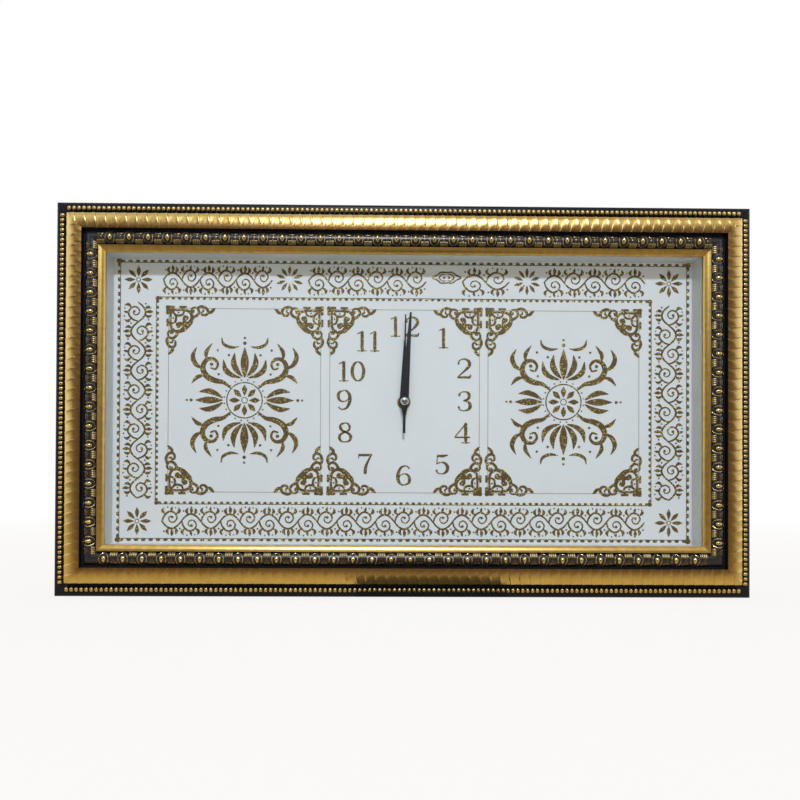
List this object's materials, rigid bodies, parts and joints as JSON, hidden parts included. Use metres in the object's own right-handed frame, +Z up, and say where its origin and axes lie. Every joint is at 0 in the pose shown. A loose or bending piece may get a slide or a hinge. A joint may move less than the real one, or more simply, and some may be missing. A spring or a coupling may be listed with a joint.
{
  "type": "picture wall clock",
  "caption": "Wide wall clock: a gilt and black moulded frame with glass, white liner and printed board, quartz movement behind and three black hands in front.",
  "frame": {"origin": "midway between the two keyholes, in the plane of the hanger plates' backs", "axes": "+X right as seen from the front, +Y back into the wall, +Z up"},
  "size_m": [0.712, 0.0522, 0.402],
  "materials": {
    "gilt_moulding": "hot-foiled gold and gloss black on foamed polystyrene",
    "clear_glass": "clear float glass",
    "white_liner": "matt white strip",
    "printed_board": "white print on fibreboard with gold ornament",
    "zinc_steel": "zinc plated",
    "case_plastic": "moulded black",
    "gasket_rubber": "soft black",
    "brass": "plain turned",
    "wheel_plastic": "moulded white",
    "core_iron": "stamped",
    "coil_wire": "enamelled copper",
    "board_resin": "green resist",
    "cell_jacket": "plain printed jacket",
    "black_hand": "gloss black",
    "silver_cap": "polished"
  },
  "bodies": {
    "frame": {"top_rail": "gilt_moulding", "bottom_rail": "gilt_moulding", "left_rail": "gilt_moulding", "right_rail": "gilt_moulding", "corner_nails": "zinc_steel", "glass_pane": "clear_glass", "spacer_top": "white_liner", "spacer_bottom": "white_liner", "spacer_left": "white_liner", "spacer_right": "white_liner", "picture_board": "printed_board", "board_tabs": "zinc_steel", "hanger_left": "zinc_steel", "hanger_right": "zinc_steel", "hanger_screws": "zinc_steel", "movement_case": "case_plastic", "movement_cover": "case_plastic", "mounting_gasket": "gasket_rubber", "brass_washer": "brass", "brass_nut": "brass", "wheel_bridge": "wheel_plastic", "stator": "core_iron", "coil": "coil_wire", "circuit_board": "board_resin", "quartz_crystal": "zinc_steel", "contact_plus": "zinc_steel", "contact_minus": "zinc_steel"},
    "seconds": {"seconds_wheel": "wheel_plastic", "second_hand": "black_hand", "second_hand_cap": "silver_cap"},
    "third": {"third_wheel": "wheel_plastic"},
    "centre": {"centre_wheel": "wheel_plastic"},
    "intermediate": {"intermediate_wheel": "wheel_plastic"},
    "rotor": {"rotor": "core_iron"},
    "minute": {"cannon_pinion": "brass", "minute_hand": "black_hand"},
    "setting": {"minute_wheel": "wheel_plastic", "setting_knob": "case_plastic"},
    "hour": {"hour_wheel": "wheel_plastic", "hour_hand": "black_hand"},
    "cell": {"aa_cell": "cell_jacket"}
  },
  "joints": [
    {"name": "seconds_spin", "type": "hinge", "parent": "frame", "child": "seconds", "pos_m": [0, -0.0199, -0.137], "axis": [0, 1, 0], "continuous": true},
    {"name": "third_spin", "type": "hinge", "parent": "frame", "child": "third", "pos_m": [0.01064, -0.0199, -0.13512], "axis": [0, 1, 0], "continuous": true},
    {"name": "centre_spin", "type": "hinge", "parent": "frame", "child": "centre", "pos_m": [0, -0.0199, -0.137], "axis": [0, 1, 0], "continuous": true},
    {"name": "intermediate_spin", "type": "hinge", "parent": "frame", "child": "intermediate", "pos_m": [-0.01034, -0.0199, -0.13518], "axis": [0, 1, 0], "continuous": true},
    {"name": "rotor_spin", "type": "hinge", "parent": "frame", "child": "rotor", "pos_m": [-0.01484, -0.0199, -0.12738], "axis": [0, 1, 0], "continuous": true},
    {"name": "minute_spin", "type": "hinge", "parent": "frame", "child": "minute", "pos_m": [0, -0.0199, -0.137], "axis": [0, 1, 0], "continuous": true},
    {"name": "setting_spin", "type": "hinge", "parent": "frame", "child": "setting", "pos_m": [0, -0.0199, -0.12548], "axis": [0, 1, 0], "continuous": true},
    {"name": "hour_spin", "type": "hinge", "parent": "frame", "child": "hour", "pos_m": [0, -0.0199, -0.137], "axis": [0, 1, 0], "continuous": true},
    {"name": "cell_slide", "type": "slide", "parent": "frame", "child": "cell", "axis": [0, 1, 0], "range_m": [0, 0.025]}
  ],
  "couplings": [
    {"joint": "third_spin", "follows": "seconds_spin", "ratio": -0.13333},
    {"joint": "centre_spin", "follows": "seconds_spin", "ratio": 0.016667},
    {"joint": "intermediate_spin", "follows": "seconds_spin", "ratio": -6},
    {"joint": "rotor_spin", "follows": "seconds_spin", "ratio": 30},
    {"joint": "setting_spin", "follows": "minute_spin", "ratio": -0.33333},
    {"joint": "hour_spin", "follows": "minute_spin", "ratio": 0.083333}
  ]
}
